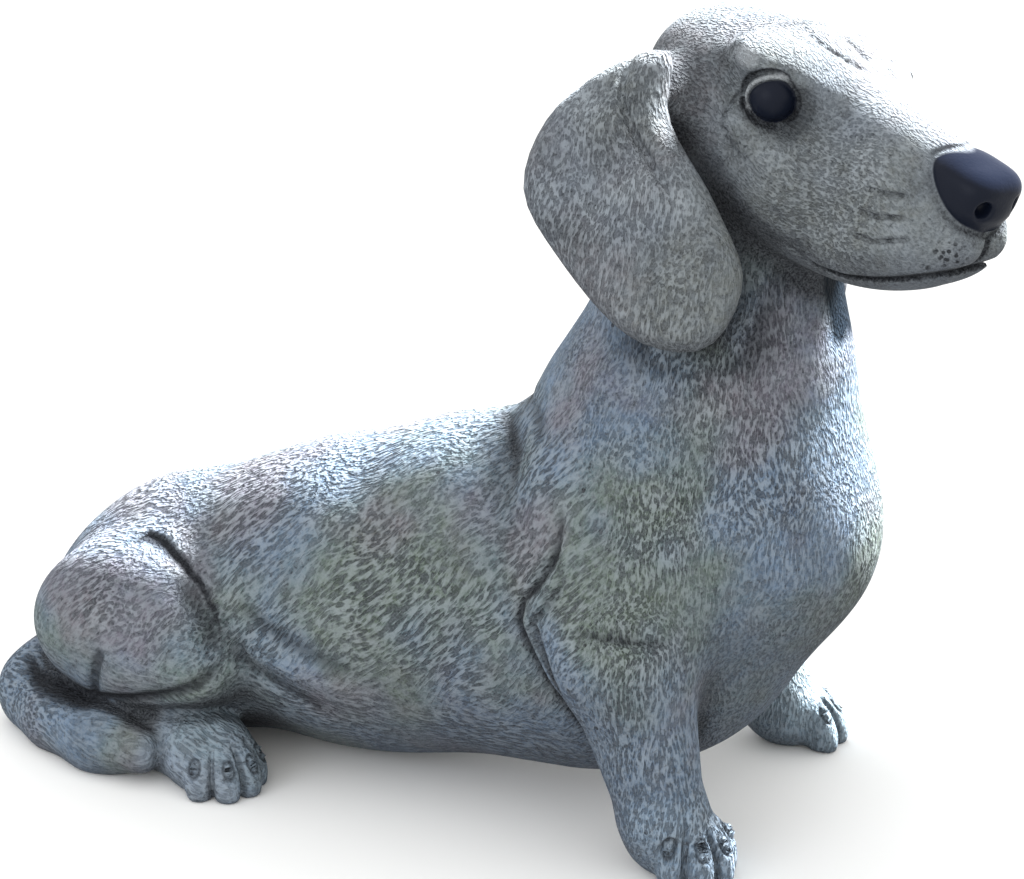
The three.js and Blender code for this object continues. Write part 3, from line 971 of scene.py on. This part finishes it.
    # Fur ridges wiped light and grooves darkened by the wash, which also paints in the highlight and shade of
    # the fur relief
    ridge_wear_and_highlight = times(depth, spread_between(fur, 0.45, 0.95))
    groove_wash_and_shade = times(depth, spread_between(fur, 0.50, 0.05))
    colour = colour_mix(times(ridge_wear_and_highlight, 0.26), colour, ridge_wear_and_highlight_grey)
    colour = colour_mix(times(groove_wash_and_shade, 0.72), colour, groove_wash_and_shade_black)
    # Painted shade on surfaces that face down, and dark wash with painted shade in hollows, less in the
    # hollows of the paws
    hollow_wash_and_shade = spread_between(number("hollow"), 0.08, 0.46)
    hollow_shade_strength = spread_between(number("paws"), 0.0, 1.0, 0.92, 0.5)
    colour = colour_mix(times(number("underside_shade"), 0.62), colour, underside_shade_grey)
    colour = colour_mix(times(hollow_wash_and_shade, hollow_shade_strength), colour, hollow_wash_and_shade_black)
    # Air holes of 1 to 2 mm that the mould left, and sand grain under 1 mm
    open_hole = times(spread_between(spots(85.0), 0.05, 0.09, 1.0, 0.0),
                      spread_between(noise(shifted, 40.0), 0.56, 0.60))
    grain = noise(place, 1100.0, 3.0, 0.7)
    colour = colour_mix(times(open_hole, 0.8), colour, hole_black)
    colour = colour_mix(spread_between(grain, 0.35, 0.65, 0.0, 0.2), colour, sand_grey)
    # Dark wash with painted shade in the cut lines and round claws and lids, and painted shade in the eye
    # corners and round the near ear
    colour = colour_mix(times(number("wash_and_painted_shade"), 0.88), colour, wash_and_shade_black)
    # Painted shadow of the head under the chin
    colour = colour_mix(times(number("throat_painted_shadow"), 0.95), colour, throat_shadow_blue)
    # Painted highlights on the lid edges and the near brow
    colour = colour_mix(times(number("painted_highlight"), 0.75), colour, highlight_grey)
    # Pores pricked 2 mm apart into the lips and the neck
    pricked = times(number("pores"), spread_between(spots(430.0), 0.24, 0.40, 1.0, 0.0))
    colour = colour_mix(times(pricked, 0.85), colour, pore_black)
    colour = colour_mix(painted, colour, paint_black)

    # Relief: fur strokes 1 mm deep, then grain, then the holes. Paint fills the fur and half of the grain.
    carved = add_node(m, "ShaderNodeBump", Strength=0.9, Distance=0.0011,
                      Height=times(times(fur, depth), stone)).outputs[0]
    brushed = spread_between(painted, 0.0, 1.0, 1.0, 0.45)
    rough_grain = times(maths("ADD", times(grain, 0.6), mottled), brushed)
    grained = add_node(m, "ShaderNodeBump", Strength=0.5, Distance=0.0006, Height=rough_grain,
                       Normal=carved).outputs[0]
    pitted = add_node(m, "ShaderNodeBump", {"invert": True}, Strength=0.8, Distance=0.0008,
                      Height=times(open_hole, stone), Normal=grained).outputs[0]
    matt_stone = spread_between(mottled, 0.3, 0.7, 0.72, 0.9)
    shader = add_node(m, "ShaderNodeBsdfPrincipled", Base_Color=colour,
                      Roughness=blend(painted, matt_stone, 0.42), Normal=pitted)
    shader.inputs["Specular IOR Level"].default_value = 0.12
    finished(m, shader)
    return m


cast_body.data.materials.clear()
cast_body.data.materials.append(cast_stone_with_wash_and_painted_light())
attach(cast_body, "root")
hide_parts("dachshund")


# Floor, light and camera
def painted_floor():
    """Matt white paint on a studio floor: even, with no shine."""
    m = new_material("matt white floor paint")
    place = add_node(m, "ShaderNodeTexCoord").outputs["Object"]
    roller = add_node(m, "ShaderNodeTexNoise", Vector=place, Scale=300.0, Detail=2.0).outputs["Fac"]
    relief = add_node(m, "ShaderNodeBump", Strength=0.05, Distance=0.0005, Height=roller).outputs[0]
    shader = add_node(m, "ShaderNodeBsdfPrincipled", Base_Color=linear("#ececea"), Roughness=0.9,
                      Normal=relief)
    finished(m, shader)
    return m


floor_sheet = bmesh.new()
bmesh.ops.create_grid(floor_sheet, x_segments=1, y_segments=1, size=8)
floor_mesh = bpy.data.meshes.new("studio_floor")
floor_sheet.to_mesh(floor_mesh)
floor_sheet.free()
floor_mesh.materials.append(painted_floor())
floor = bpy.data.objects.new("studio_floor", floor_mesh)
bpy.context.scene.collection.objects.link(floor)


def aim_at(holder, target):
    sight = Vector(target) - Vector(holder.location)
    holder.rotation_euler = sight.to_track_quat("-Z", "Y").to_euler()


def soft_light(name, position, width, power, colour="#ffffff", only=None):
    """A round lamp with a diffuser, in metres and watts. With only, it lights nothing but that piece."""
    lamp = bpy.data.lights.new(name, "AREA")
    lamp.shape = "DISK"
    lamp.size = width
    lamp.energy = power
    lamp.color = linear(colour)[:3]
    holder = bpy.data.objects.new(name, lamp)
    holder.location = position
    aim_at(holder, lamp_target)
    bpy.context.scene.collection.objects.link(holder)
    if only:
        lit = bpy.data.collections.new(name + "_lights")
        lit.objects.link(only)
        holder.light_linking.receiver_collection = lit
        holder.visible_glossy = False


lamp_target = (0.0, 0.0, 0.15)
soft_light("overhead_far", (1.05, 1.75, 2.3), 0.7, 1300, only=cast_body)
soft_light("front_left", (-0.9, -2.2, 1.1), 1.6, 16, "#eef3ff")
world = bpy.data.worlds.new("studio_air")
world.use_nodes = True
background = world.node_tree.nodes["Background"]
background.inputs["Color"].default_value = linear("#fbfbfb")
background.inputs["Strength"].default_value = 1.5
bpy.context.scene.world = world

# The camera stands where the photograph was taken from
camera_place = np.array([304.03, -792.03, 440.43])
camera_target = np.array([0.0, 0.0, 140.0])
lens = bpy.data.cameras.new("camera")
lens.lens = 82.853
lens.sensor_width = 36
lens.shift_x = -0.0121
lens.shift_y = -0.0027
lens.clip_start = 0.05
camera = bpy.data.objects.new("camera", lens)
camera.location = to_metres(camera_place)
aim_at(camera, to_metres(camera_target))
bpy.context.scene.collection.objects.link(camera)
bpy.context.scene.camera = camera
bpy.context.scene.view_settings.view_transform = "Standard"
